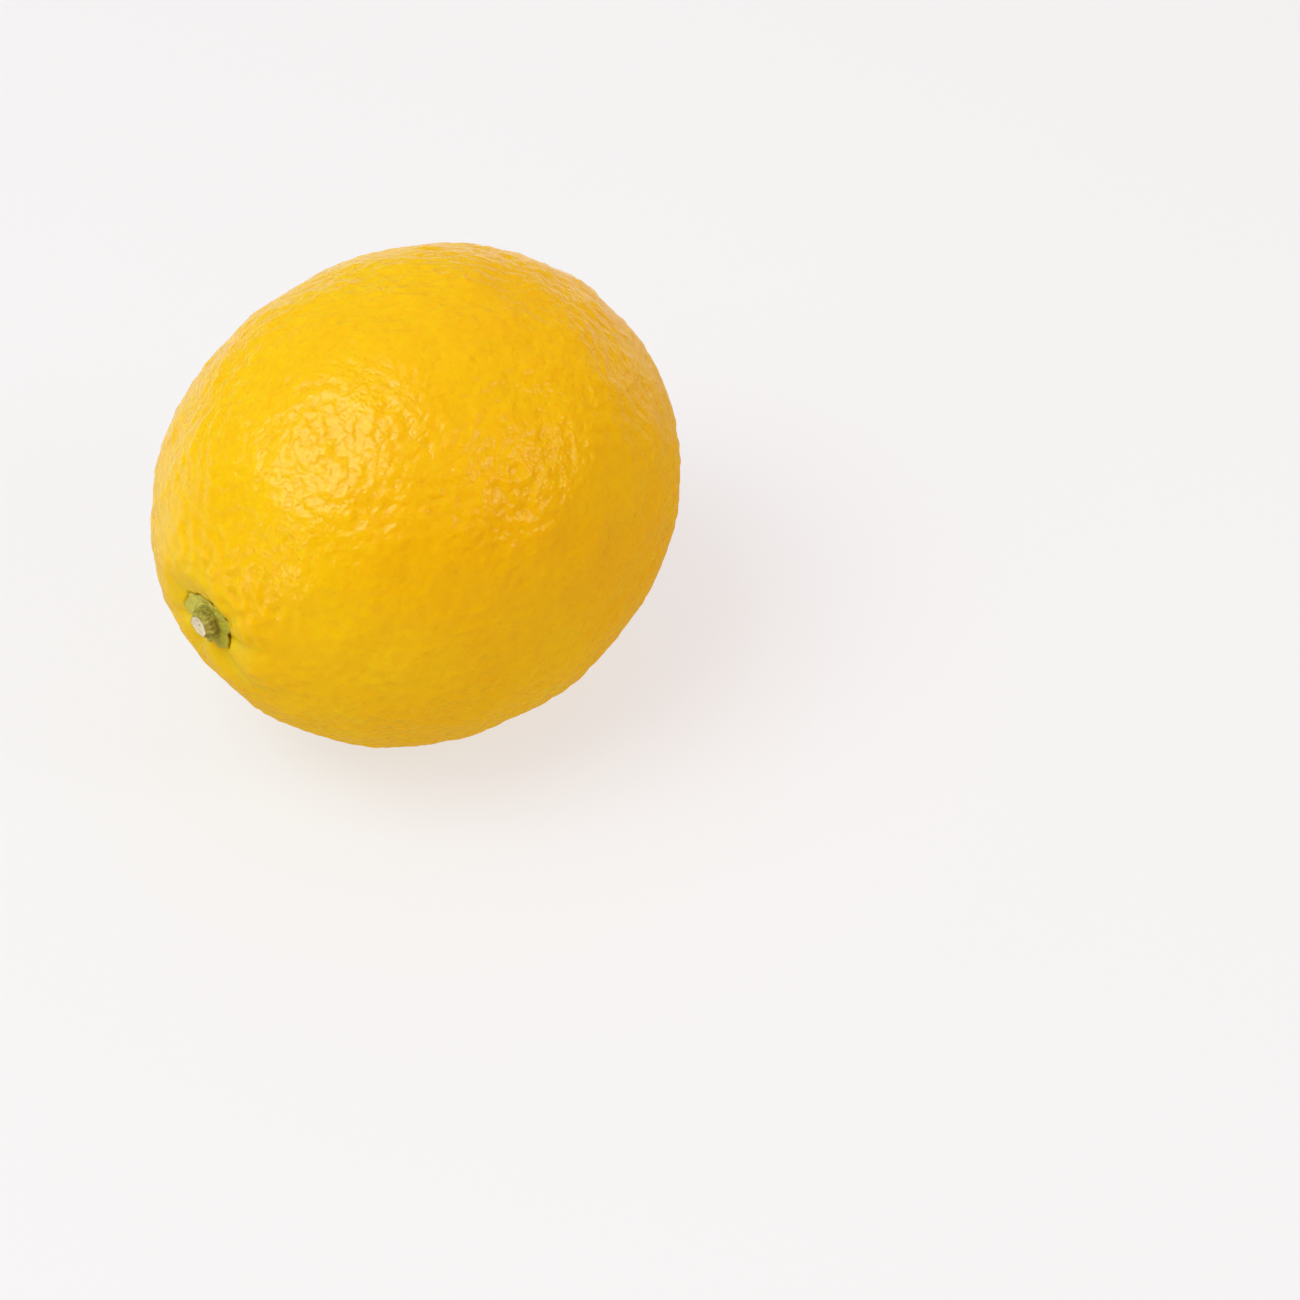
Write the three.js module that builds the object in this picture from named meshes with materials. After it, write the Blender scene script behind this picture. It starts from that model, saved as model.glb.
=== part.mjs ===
// A ripe lemon lying on its side, with its calyx and the clipped end of its stem still on it.
// Millimetres, +Z up. The fruit's long axis runs along X: the stem end points to -X and the
// nipple end to +X. The fruit rests on the plane z = 0, on a small flat spot round the origin.
//
// Three pieces: the fruit, whose rind carries the shoulder and furrows at the stem end, the
// nipple at the other end and the soft lumps between them; the green calyx, a leafy collar of
// fused sepals that lies in the cup at the stem end; and the stem stub, the end of the fruit
// stalk, which swells into a ring on the calyx and was cut square with clippers.
//
// "Turn" is the angle round the long axis, from +Y towards +Z, in radians. "Radius" is the
// distance from that axis. Waves round the axis have a height, a count in a full turn and a
// phase.

import * as THREE from "three";

// Fruit: a plain ovoid that everything else is raised from or sunk into.
const OVOID_LENGTH = 70.8;
const OVOID_DIAMETER = 61;
const FLAT_DEPTH = 0.45; // how far the round underside is pressed flat where it lies
const RIND_SEGMENTS = 84; // round the long axis
const RIND_RINGS = 64; // from end to end
const RING_CROWDING = 0.5; // draws the rings towards the two ends, where the shape is finest

// Stem end of the fruit.
const DISH_RADIUS = 7.5; // wide shallow hollow round the cup
const DISH_DEPTH = 1.5;
const SHOULDER_RADIUS = 8.2; // ring of raised rind round the dish
const SHOULDER_WIDTH = 3.2;
const SHOULDER_RISE = 0.6;
const SHOULDER_WAVES = [{ height: 0.4, count: 1, phase: -2.1 }];
const CUP_MARGIN = 0.15; // the cup that the calyx lies in is this much wider than the calyx
const CUP_WALL = 1.4;
const CUP_DEPTH = 0.7;
const FURROW_COUNT = 7; // creases that run out from the cup
const FURROW_DEPTH = 0.9;
const FURROW_SHARPNESS = 2;
const FURROW_REACH = 16; // radius at which they have died away
const FURROW_SWIRL = 0.05; // radians of turn for each millimetre outwards
const FURROW_WANDER = [{ height: 0.16, count: 2, phase: -0.57 }];
const FURROW_WAVES = [{ height: 0.65, count: 1, phase: 2.1 }]; // one side has deeper creases
const FLANK_DENT = new THREE.Vector3(-30.3, 1.8, -15.7); // shallow dent under the stem end
const FLANK_DENT_RADIUS = 8;
const FLANK_DENT_DEPTH = 0.5;

// Nipple end of the fruit.
const NIPPLE_HEIGHT = 2.9;
const NIPPLE_RADIUS = 3.8;
const NIPPLE_STEEPNESS = 2.8; // power of the radius: 2 is a bell, more is a blunter knob
const SKIRT_RISE = 0.7; // low swelling that the nipple stands on
const SKIRT_RADIUS = 7.5;
const NIPPLE_OFFSET = new THREE.Vector2(0.5, 0.35); // off the axis, along Y and Z
const STYLE_SCAR_RADIUS = 0.95; // pit where the style fell off
const STYLE_SCAR_DEPTH = 0.45;

// Lumps of the rind: families of waves, each with its length, its height and how many there are.
const LUMP_FAMILIES = [
  { length: 48, height: 0.06, count: 4 },
  { length: 17, height: 0.06, count: 8 },
  { length: 7, height: 0.032, count: 14 },
];
const LUMP_PHASE_STEP = 1.7;
const LUMP_FREE_RADIUS = 5; // the cup is smooth, so that the calyx fits it
const LUMP_FULL_RADIUS = 11;

// Calyx: a disc with uneven lobes, ribs near its edge and a groove round the foot of the stalk.
const CALYX_RADIUS = 3.8;
const LOBE_WAVES = [
  { height: 0.22, count: 1, phase: 0.1 },
  { height: 0.31, count: 2, phase: -0.14 },
  { height: 0.22, count: 3, phase: -0.78 },
  { height: 0.12, count: 5, phase: 0.12 },
  { height: 0.13, count: 8, phase: 2.28 },
  { height: 0.11, count: 11, phase: 0.21 },
];
const CALYX_THICKNESS = 0.9;
const CALYX_EDGE_THICKNESS = 0.5;
const CALYX_CURL = 0.3; // lift of the edge off the rind
const CURL_POWER = 4;
const CURL_WAVES = [{ height: 0.6, count: 3, phase: 1.4 }];
const RIB_WAVES = [{ height: 0.12, count: 10, phase: 1 }];
const RIB_START = 0.65; // shares of the calyx's radius
const RIB_FULL = 0.85;
const TROUGH_RADIUS = 2.75;
const TROUGH_WIDTH = 0.55;
const TROUGH_DEPTH = 0.25;
const CALYX_SEGMENTS = 60;
const CALYX_RINGS = 6;
const CALYX_EDGE_STEPS = 4;
const CALYX_EDGE_SHARE = 0.12; // share of the radius that the rounded edge takes

// Stem stub.
const RING_RADIUS = 2.15; // swelling of the stalk where it meets the calyx
const RING_HEIGHT = 0.75;
const RING_ROUNDING = 0.28;
const NECK_HEIGHT = 0.95;
const NECK_FLARE = 0.1;
const STUB_RADIUS = 1.66;
const STUB_HEIGHT = 1.25; // from the calyx to the cut
const CUT_BEVEL = 0.12;
const CUT_DISH = 0.2; // how far the cut face is hollowed
const CUT_RINGS = [0.7, 0.4, 0]; // shares of the cut face's radius
const KNOB_WAVES = [
  { height: 0.05, count: 3, phase: 0.5 },
  { height: 0.035, count: 7, phase: 2 },
];
const STUB_SEGMENTS = 36;
const STUB_STEPS = 11;

const FIT_GAP = 0.3; // clearance between two pieces that touch

const HALF_LENGTH = OVOID_LENGTH / 2;
const HALF_DIAMETER = OVOID_DIAMETER / 2;
const AXIS_HEIGHT = HALF_DIAMETER - FLAT_DEPTH;
const CUP_FLOOR = HALF_LENGTH - DISH_DEPTH - CUP_DEPTH; // from the ovoid's centre, along -X
const STUB_FOOT = CUP_FLOOR + FIT_GAP + CALYX_THICKNESS + FIT_GAP;
const STEM_REACH = STUB_FOOT + STUB_HEIGHT;
const NIPPLE_REACH = HALF_LENGTH + NIPPLE_HEIGHT + SKIRT_RISE - STYLE_SCAR_DEPTH;
// The ovoid's centre stands where both ends are equally far from the origin.
const CENTRE = new THREE.Vector3((STEM_REACH - NIPPLE_REACH) / 2, 0, AXIS_HEIGHT);

const { clamp, lerp, smoothstep } = THREE.MathUtils;

function bell(x, centre, width) {
  return Math.exp(-(((x - centre) / width) ** 2));
}

// Sum of waves round the axis.
function ripple(turn, waves) {
  return waves.reduce((sum, wave) => sum + wave.height * Math.cos(wave.count * turn + wave.phase), 0);
}

// Directions spread evenly over a sphere: the lump waves of one family run along them.
function evenDirection(index, count) {
  const goldenAngle = Math.PI * (3 - Math.sqrt(5));
  const height = 1 - (2 * index + 1) / count;
  const reach = Math.sqrt(1 - height * height);
  const turn = goldenAngle * index;
  return new THREE.Vector3(reach * Math.cos(turn), height, reach * Math.sin(turn));
}

// Height of the rind's lumps over the ovoid at a point on it.
function lumps(point) {
  let height = 0;
  LUMP_FAMILIES.forEach((family, familyIndex) => {
    for (let i = 0; i < family.count; i++) {
      const along = evenDirection(i, family.count).dot(point);
      const phase = (i + 1) * (familyIndex + 2) * LUMP_PHASE_STEP;
      height += family.height * Math.sin((along * 2 * Math.PI) / family.length + phase);
    }
  });
  const radius = Math.hypot(point.y, point.z);
  const dent = FLANK_DENT_DEPTH * bell(point.distanceTo(FLANK_DENT), 0, FLANK_DENT_RADIUS);
  return height * smoothstep(radius, LUMP_FREE_RADIUS, LUMP_FULL_RADIUS) - dent;
}

// Outline of the calyx: uneven lobes with small teeth between them.
function calyxReach(turn) {
  return CALYX_RADIUS + ripple(turn, LOBE_WAVES);
}

// How far the rind stands out along the axis at the stem end.
function stemRelief(radius, turn) {
  const cupRadius = calyxReach(turn) + CUP_MARGIN;
  const cupLip = cupRadius + CUP_WALL;
  const outside = smoothstep(radius, cupRadius, cupLip); // 0 in the cup, 1 past its lip
  const hollow = DISH_DEPTH * bell(radius, 0, DISH_RADIUS) + CUP_DEPTH * (1 - outside);
  const highSide = 1 + ripple(turn, SHOULDER_WAVES);
  const shoulder = SHOULDER_RISE * highSide * bell(radius, SHOULDER_RADIUS, SHOULDER_WIDTH);
  const creaseTurn = turn + ripple(turn, FURROW_WANDER) + FURROW_SWIRL * radius;
  const crease = (0.5 + 0.5 * Math.cos(FURROW_COUNT * creaseTurn)) ** FURROW_SHARPNESS;
  const deepSide = (1 + ripple(turn, FURROW_WAVES)) / 2;
  const fade = outside * (1 - smoothstep(radius, cupLip, FURROW_REACH));
  return shoulder - hollow - FURROW_DEPTH * crease * deepSide * fade;
}

// How far the rind stands out along the axis at the nipple end.
function nippleRelief(y, z) {
  const radius = Math.hypot(y - NIPPLE_OFFSET.x, z - NIPPLE_OFFSET.y);
  const knob = NIPPLE_HEIGHT * Math.exp(-((radius / NIPPLE_RADIUS) ** NIPPLE_STEEPNESS));
  const skirt = SKIRT_RISE * bell(radius, 0, SKIRT_RADIUS);
  return knob + skirt - STYLE_SCAR_DEPTH * bell(radius, 0, STYLE_SCAR_RADIUS);
}

// Point of the rind in a direction from the ovoid's centre, measured from that centre.
function rindPoint(direction) {
  const size = new THREE.Vector3(HALF_LENGTH, HALF_DIAMETER, HALF_DIAMETER);
  const point = direction.clone().multiply(size);
  const normal = direction.clone().divide(size).normalize();
  const radius = Math.hypot(point.y, point.z);
  const lift = lumps(point);
  if (point.x < 0) point.x -= stemRelief(radius, Math.atan2(point.z, point.y));
  else point.x += nippleRelief(point.y, point.z);
  return point.addScaledVector(normal, lift);
}

// Distance from the ovoid's centre to the floor of the cup, along -X.
function cupFloor(radius, turn) {
  const ovoid = HALF_LENGTH * Math.sqrt(1 - (radius / HALF_DIAMETER) ** 2);
  return ovoid + stemRelief(radius, turn);
}

// Moves every vertex of a geometry to move(vertex).
function reshape(geometry, move) {
  const position = geometry.getAttribute("position");
  const vertex = new THREE.Vector3();
  for (let i = 0; i < position.count; i++) {
    const moved = move(vertex.fromBufferAttribute(position, i));
    position.setXYZ(i, moved.x, moved.y, moved.z);
  }
  geometry.computeVertexNormals();
  return geometry;
}

// The place at a height along -X from the ovoid's centre, at a radius and a turn.
function placeAtStemEnd(height, radius, turn) {
  return new THREE.Vector3(-height, radius * Math.cos(turn), radius * Math.sin(turn)).add(CENTRE);
}

function fruitGeometry() {
  const sphere = new THREE.SphereGeometry(1, RIND_SEGMENTS, RIND_RINGS);
  sphere.rotateZ(Math.PI / 2); // its poles become the two ends of the fruit
  return reshape(sphere, (vertex) => {
    const even = Math.acos(clamp(-vertex.x, -1, 1)); // angle from the stem end
    const crowded = even - (RING_CROWDING / 2) * Math.sin(2 * even);
    const turn = Math.atan2(vertex.z, vertex.y);
    const direction = new THREE.Vector3(
      -Math.cos(crowded),
      Math.sin(crowded) * Math.cos(turn),
      Math.sin(crowded) * Math.sin(turn),
    );
    const point = rindPoint(direction).add(CENTRE);
    point.z = Math.max(point.z, 0);
    return point;
  });
}

// A disc of radius 1 and height 1 round the Y axis, with a rounded edge.
function unitDisc(segments, flatRings, edgeSteps, edge) {
  const flat = Array.from({ length: flatRings + 1 }, (_, i) => (i / flatRings) * (1 - edge));
  const rounded = Array.from({ length: edgeSteps - 1 }, (_, i) => {
    const angle = -Math.PI / 2 + ((i + 1) / edgeSteps) * Math.PI;
    return new THREE.Vector2(1 - edge + edge * Math.cos(angle), (1 + Math.sin(angle)) / 2);
  });
  const underside = flat.map((reach) => new THREE.Vector2(reach, 0));
  const top = flat.toReversed().map((reach) => new THREE.Vector2(reach, 1));
  return new THREE.LatheGeometry([...underside, ...rounded, ...top], segments);
}

function calyxGeometry() {
  const disc = unitDisc(CALYX_SEGMENTS, CALYX_RINGS, CALYX_EDGE_STEPS, CALYX_EDGE_SHARE);
  return reshape(disc, (vertex) => {
    const share = Math.hypot(vertex.x, vertex.z); // 0 on the axis, 1 at the edge
    const turn = Math.atan2(vertex.z, vertex.x);
    const radius = share * calyxReach(turn);
    const plain = lerp(CALYX_THICKNESS, CALYX_EDGE_THICKNESS, share ** 2);
    const rib = ripple(turn, RIB_WAVES) * smoothstep(share, RIB_START, RIB_FULL);
    const trough = TROUGH_DEPTH * bell(radius, TROUGH_RADIUS, TROUGH_WIDTH);
    const curl = CALYX_CURL * share ** CURL_POWER * (1 + ripple(turn, CURL_WAVES));
    const underside = cupFloor(radius, turn) + FIT_GAP + curl;
    return placeAtStemEnd(underside + vertex.y * (plain + rib - trough), radius, turn);
  });
}

function stubGeometry() {
  const side = new THREE.SplineCurve([
    new THREE.Vector2(RING_RADIUS - RING_ROUNDING, 0),
    new THREE.Vector2(RING_RADIUS, RING_HEIGHT / 2),
    new THREE.Vector2(RING_RADIUS - RING_ROUNDING, RING_HEIGHT),
    new THREE.Vector2(STUB_RADIUS + NECK_FLARE, NECK_HEIGHT),
    new THREE.Vector2(STUB_RADIUS, STUB_HEIGHT - CUT_BEVEL),
    new THREE.Vector2(STUB_RADIUS - CUT_BEVEL, STUB_HEIGHT),
  ]).getPoints(STUB_STEPS);
  const cut = CUT_RINGS.map((share) => {
    const reach = (STUB_RADIUS - CUT_BEVEL) * share;
    return new THREE.Vector2(reach, STUB_HEIGHT - CUT_DISH * (1 - share * share));
  });
  const lathe = new THREE.LatheGeometry([new THREE.Vector2(0, 0), ...side, ...cut], STUB_SEGMENTS);
  return reshape(lathe, (vertex) => {
    const turn = Math.atan2(vertex.z, vertex.x);
    const radius = Math.hypot(vertex.x, vertex.z) * (1 + ripple(turn, KNOB_WAVES));
    return placeAtStemEnd(STUB_FOOT + vertex.y, radius, turn);
  });
}

function piece(name, geometry, color, roughness) {
  const material = new THREE.MeshStandardMaterial({ color, roughness, metalness: 0 });
  const mesh = new THREE.Mesh(geometry, material);
  mesh.name = name;
  return mesh;
}

const lemon = new THREE.Group();
lemon.add(
  piece("fruit", fruitGeometry(), 0xf5bd0a, 0.42),
  piece("calyx", calyxGeometry(), 0x9fa83c, 0.7),
  piece("stem_stub", stubGeometry(), 0x8a9440, 0.8),
);

export default lemon;
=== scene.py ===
# %% [markdown]
# # A ripe lemon, lying on its side
#
# This lesson dresses the solid model of a lemon as a fresh fruit. Each solid is
# replaced by a finer mesh that keeps its form: the fruit with its pebbled rind, the
# green calyx, and the cut end of the stem.

import math

import bmesh
import bpy
import numpy as np
from mathutils import Matrix, Vector
from mathutils.kdtree import KDTree


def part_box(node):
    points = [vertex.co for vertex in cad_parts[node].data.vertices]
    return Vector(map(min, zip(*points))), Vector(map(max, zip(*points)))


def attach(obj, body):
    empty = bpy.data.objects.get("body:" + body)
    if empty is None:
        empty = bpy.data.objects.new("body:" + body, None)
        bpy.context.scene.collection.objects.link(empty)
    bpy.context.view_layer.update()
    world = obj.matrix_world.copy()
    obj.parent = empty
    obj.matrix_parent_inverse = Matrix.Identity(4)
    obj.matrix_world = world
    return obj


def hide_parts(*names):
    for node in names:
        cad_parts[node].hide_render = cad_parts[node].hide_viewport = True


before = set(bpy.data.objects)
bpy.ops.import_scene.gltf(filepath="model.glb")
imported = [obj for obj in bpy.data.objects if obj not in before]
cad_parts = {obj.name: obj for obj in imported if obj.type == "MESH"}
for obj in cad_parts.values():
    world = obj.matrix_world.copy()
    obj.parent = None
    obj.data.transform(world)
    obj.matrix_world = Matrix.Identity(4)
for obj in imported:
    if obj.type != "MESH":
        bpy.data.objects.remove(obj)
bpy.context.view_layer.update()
MM = 0.001
print("nodes:", sorted(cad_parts))

# %% [markdown]
# ## The fruit's driving dimensions
#
# A lemon is an ovoid with two special ends. The numbers here are the real sizes that
# the solids were made from, so that the fine meshes fit them. Near the stem a few are a
# little finer than in the solids, such as the steep wall of the cup. Only the place
# comes from the frame: the ovoid's centre is found from the boxes of the solids.
#
# A side is a turn round the long axis in radians, from +Y towards +Z. A list of waves
# gives the height, the count round the axis and the phase of each; the heights are in
# millimetres for an outline, and shares for the rest.

# %% Sizes of the fruit
HALF_LENGTH = 35.4 * MM
HALF_DIAMETER = 30.5 * MM
FLAT_DEPTH = 0.45 * MM
HALF_SIZES = np.array([HALF_LENGTH, HALF_DIAMETER, HALF_DIAMETER])

DISH_RADIUS = 7.5 * MM
DISH_DEPTH = 1.5 * MM
SHOULDER_RADIUS = 8.2 * MM
SHOULDER_WIDTH = 3.2 * MM
SHOULDER_RISE = 0.6 * MM
SHOULDER_HIGH_SIDE = 2.1
SHOULDER_UNEVENNESS = 0.4
CUP_MARGIN = -0.05 * MM
CUP_WALL = 0.4 * MM
CUP_DEPTH = 0.7 * MM
FURROW_COUNT = 7
FURROW_DEPTH = 0.8 * MM
FURROW_REACH = 16 * MM
FURROW_SWIRL = 0.05 / MM
FURROW_WANDER = 0.16
FURROW_WANDER_SIDE = 0.57
FURROW_SHARPNESS = 1.5
FURROW_DEEP_SIDE = -2.1
FURROW_UNEVENNESS = 0.65
ROLL_RISE = 0.5 * MM
ROLL_RADIUS = 5.6 * MM
ROLL_WIDTH = 1.6 * MM
ROLL_SIDE = 1.9
ROLL_SPREAD = 0.8
FLANK_DENT = np.array([-30.3, 1.8, -15.7]) * MM
FLANK_DENT_RADIUS = 8 * MM
FLANK_DENT_DEPTH = 0.5 * MM

NIPPLE_HEIGHT = 2.9 * MM
NIPPLE_RADIUS = 3.8 * MM
NIPPLE_STEEPNESS = 2.8
SKIRT_RISE = 0.7 * MM
SKIRT_RADIUS = 7.5 * MM
NIPPLE_OFFSET = (0.5 * MM, 0.35 * MM)
STYLE_SCAR_RADIUS = 0.95 * MM
STYLE_SCAR_DEPTH = 0.45 * MM
PUCKER_COUNT = 9
PUCKER_RADIUS = 3.3 * MM
PUCKER_DEPTH = 0.16 * MM
PUCKER_WANDER = 1.2
PUCKER_SHARPNESS = 2

# Length and rise of a family of lumps in millimetres, and how many directions it runs in
LUMP_FAMILIES = [(48, 0.06, 4), (17, 0.06, 8), (7, 0.032, 14)]
LUMP_PHASE_STEP = 1.7
LUMP_FREE_RADIUS = 5 * MM
LUMP_FULL_RADIUS = 11 * MM

CALYX_RADIUS = 3.8 * MM
CALYX_THICKNESS = 0.9 * MM
LOBE_WAVES = [
    (0.22, 1, 0.1), (0.31, 2, -0.14), (0.22, 3, -0.78),
    (0.12, 5, 0.12), (0.13, 8, 2.28), (0.11, 11, 0.21),
]
NOTCH_DEPTH = 0.5 * MM
NOTCH_SIDE = 3.38
NOTCH_SPREAD = 0.19
STUB_HEIGHT = 1.25 * MM
FIT_GAP = 0.3 * MM
CUP_FLOOR = HALF_LENGTH - DISH_DEPTH - CUP_DEPTH
STUB_FOOT = CUP_FLOOR + FIT_GAP + CALYX_THICKNESS + FIT_GAP

fruit_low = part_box("fruit")[0]
stub_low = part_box("stem_stub")[0]
CENTRE = Vector((
    stub_low.x + STUB_FOOT + STUB_HEIGHT, 0, fruit_low.z + HALF_DIAMETER - FLAT_DEPTH
))
print("centre of the ovoid, mm:", [round(v / MM, 2) for v in CENTRE])

# %% [markdown]
# ## The camera
#
# The camera comes first, because the fineness of everything after it depends on how
# close it looks. A long lens half a metre away looks down on the fruit at about 43
# degrees, from the side of the stem. A camera could be turned towards the fruit, but
# the fruit lies up and left of the middle of the frame. So the camera is placed by
# where the fruit's centre falls in its view, which also needs no lens shift.

# %% Camera
CAMERA_AZIMUTH = math.radians(-44.5)
CAMERA_ELEVATION = math.radians(42.7)
LENS = 100
CLIP_START = 10 * MM
FRUIT_IN_VIEW = Vector((-29.1, 19.6, -455.7)) * MM


def view_axes(azimuth, elevation):
    """Right, up and back of a level camera."""
    right = Vector((math.cos(azimuth), math.sin(azimuth), 0))
    back = Vector((
        math.sin(azimuth) * math.cos(elevation),
        -math.cos(azimuth) * math.cos(elevation),
        math.sin(elevation),
    ))
    return right, back.cross(right), back


turn_to_view = Matrix(view_axes(CAMERA_AZIMUTH, CAMERA_ELEVATION)).transposed()
camera = bpy.data.objects.new("camera", bpy.data.cameras.new("camera"))
camera.data.lens = LENS
camera.data.clip_start = CLIP_START
camera.matrix_world = Matrix.LocRotScale(
    CENTRE - turn_to_view @ FRUIT_IN_VIEW, turn_to_view.to_quaternion(), None
)
bpy.context.collection.objects.link(camera)
bpy.context.scene.camera = camera
print("camera at, mm:", [round(v / MM) for v in camera.location])

# %% [markdown]
# ## Shapes as formulas on arrays
#
# Every rise and hollow of the rind is a formula of the place on the fruit. Sculpting by
# hand or a displacement texture would do it too, but formulas can repeat those of the
# solid exactly. NumPy works one out for all vertices at once, so a mesh of a hundred
# thousand vertices takes a moment. "Turn" is the angle round the long axis, and
# "radius" the distance from it.

# %% Helpers for formulas
def smoothstep(x, low, high):
    share = np.clip((x - low) / (high - low), 0, 1)
    return share * share * (3 - 2 * share)


def bell(x, centre, width):
    return np.exp(-(((x - centre) / width) ** 2))


def turned_from(turn, side):
    """Angle between a turn and a side, from -pi to pi."""
    return np.arctan2(np.sin(turn - side), np.cos(turn - side))


def waves(turn, terms):
    """A sum of waves round the axis, each (height, count, phase)."""
    return sum(height * np.cos(count * turn + phase) for height, count, phase in terms)


def creases(angle, sharpness):
    """1 along each crease, falling to 0 between them."""
    return (0.5 + 0.5 * np.cos(angle)) ** sharpness


def even_directions(count):
    """Directions spread evenly over a sphere, by the golden angle."""
    index = np.arange(count)
    height = 1 - (2 * index + 1) / count
    reach = np.sqrt(1 - height**2)
    turn = math.pi * (3 - math.sqrt(5)) * index
    return np.stack([reach * np.cos(turn), height, reach * np.sin(turn)], axis=1)


# %% [markdown]
# ## The large forms
#
# These formulas repeat the solid fruit: soft lumps all over it and a dent in its flank,
# a dish with a cup, shoulder and furrows at the stem end, and a knob on a low swelling
# at the nipple end, with the small hollow that the flower's style left. Three things
# are only here: a low roll of rind beside the calyx, a notch in one of the calyx's
# lobes, and the puckers of the nipple. Each form is a line or two of its own, so that
# it can be changed alone.

# %% Large forms of the fruit
def lumps(points):
    """Soft lumps of the rind over the ovoid, and the dent under its stem end."""
    height = np.zeros(len(points))
    for family, (length, rise, count) in enumerate(LUMP_FAMILIES):
        for i, direction in enumerate(even_directions(count)):
            phase = (i + 1) * (family + 2) * LUMP_PHASE_STEP
            along = points @ direction * 2 * math.pi / (length * MM)
            height += rise * MM * np.sin(along + phase)
    radius = np.hypot(points[:, 1], points[:, 2])
    height *= smoothstep(radius, LUMP_FREE_RADIUS, LUMP_FULL_RADIUS)
    from_dent = np.linalg.norm(points - FLANK_DENT, axis=1)
    return height - FLANK_DENT_DEPTH * bell(from_dent, 0, FLANK_DENT_RADIUS)


def calyx_reach(turn):
    """Outline of the calyx: uneven lobes, with a notch in one of them."""
    notch = NOTCH_DEPTH * bell(turned_from(turn, NOTCH_SIDE), 0, NOTCH_SPREAD)
    return CALYX_RADIUS + MM * waves(turn, LOBE_WAVES) - notch


def outside_cup(radius, turn):
    """0 in the cup that the calyx lies in, 1 past its lip."""
    cup_radius = calyx_reach(turn) + CUP_MARGIN
    return smoothstep(radius, cup_radius, cup_radius + CUP_WALL)


def furrows(radius, turn):
    """Creases that run out from the cup, from 0 to 1 at the deepest."""
    wander = FURROW_WANDER * np.cos(2 * turn - FURROW_WANDER_SIDE) + FURROW_SWIRL * radius
    crease = creases(FURROW_COUNT * (turn + wander), FURROW_SHARPNESS)
    deep_side = (1 + FURROW_UNEVENNESS * np.cos(turn - FURROW_DEEP_SIDE)) / 2
    lip = calyx_reach(turn) + CUP_MARGIN + CUP_WALL
    fade = 1 - smoothstep(radius, lip, FURROW_REACH)
    return crease * deep_side * outside_cup(radius, turn) * fade


def stem_relief(radius, turn):
    """How far the rind stands out along the axis at the stem end."""
    high_side = 1 + SHOULDER_UNEVENNESS * np.cos(turn - SHOULDER_HIGH_SIDE)
    shoulder = SHOULDER_RISE * high_side * bell(radius, SHOULDER_RADIUS, SHOULDER_WIDTH)
    roll = ROLL_RISE * bell(turned_from(turn, ROLL_SIDE), 0, ROLL_SPREAD)
    roll *= bell(radius, ROLL_RADIUS, ROLL_WIDTH) * outside_cup(radius, turn)
    dish = DISH_DEPTH * bell(radius, 0, DISH_RADIUS)
    cup = CUP_DEPTH * (1 - outside_cup(radius, turn))
    return shoulder + roll - dish - cup - FURROW_DEPTH * furrows(radius, turn)


def nipple_relief(y, z):
    """How far the rind stands out along the axis at the nipple end."""
    radius = np.hypot(y - NIPPLE_OFFSET[0], z - NIPPLE_OFFSET[1])
    knob = NIPPLE_HEIGHT * np.exp(-((radius / NIPPLE_RADIUS) ** NIPPLE_STEEPNESS))
    skirt = SKIRT_RISE * bell(radius, 0, SKIRT_RADIUS)
    turn = np.arctan2(z - NIPPLE_OFFSET[1], y - NIPPLE_OFFSET[0])
    wander = PUCKER_WANDER * np.sin(2 * turn)
    crease = creases(PUCKER_COUNT * turn + wander, PUCKER_SHARPNESS)
    pucker = PUCKER_DEPTH * crease * bell(radius, PUCKER_RADIUS, PUCKER_RADIUS / 2)
    scar = STYLE_SCAR_DEPTH * bell(radius, 0, STYLE_SCAR_RADIUS)
    return knob + skirt - pucker - scar


# %% [markdown]
# ## The rind's own relief
#
# A lemon's rind is full of oil glands. Each one dimples the skin a little, and between
# them the skin swells, which breaks a highlight into short wavy pieces. Near the stem
# the skin is also crumpled, and in the cup it is smooth. A bump texture would give the
# shading alone, so this relief is in the mesh. The dimples stand on points spread
# evenly over the fruit and then shaken, and a k-d tree finds the nearest of them for
# each vertex. The swellings are a sum of waves in all directions, which never repeats
# itself.

# %% Relief of the rind
GLAND_SPACING = 1.9 * MM
GLAND_SHAKE = 0.35
AREA_PER_GLAND = 0.866 * GLAND_SPACING**2
SHALLOWEST_DIMPLE = 0.3
DIMPLE_RADIUS = 0.6 * MM
DIMPLE_DEPTH = 0.05 * MM
PEBBLE_LENGTHS = (1.6 * MM, 2.8 * MM)
PEBBLE_HEIGHT = 0.049 * MM
PEBBLE_WAVES = 80
CALM_SHARE = 0.15
CRUMPLE = 1.5
CRUMPLE_RADIUS = 9.5 * MM
CRUMPLE_WIDTH = 3.2 * MM
CRUMPLE_SIDE = 2.2
CRUMPLE_SPREAD = 0.9
SKIN_SEED = 11


def gland_points():
    """Places of the oil glands on the ovoid, and how deep a dimple each one makes."""
    rng = np.random.default_rng(SKIN_SEED)
    area = 4 * math.pi * HALF_SIZES.prod() ** (2 / 3)
    count = int(area / AREA_PER_GLAND)
    points = even_directions(count) * HALF_SIZES
    points += rng.normal(0, GLAND_SHAKE * GLAND_SPACING, points.shape)
    return points, rng.uniform(SHALLOWEST_DIMPLE, 1, count)


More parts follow.
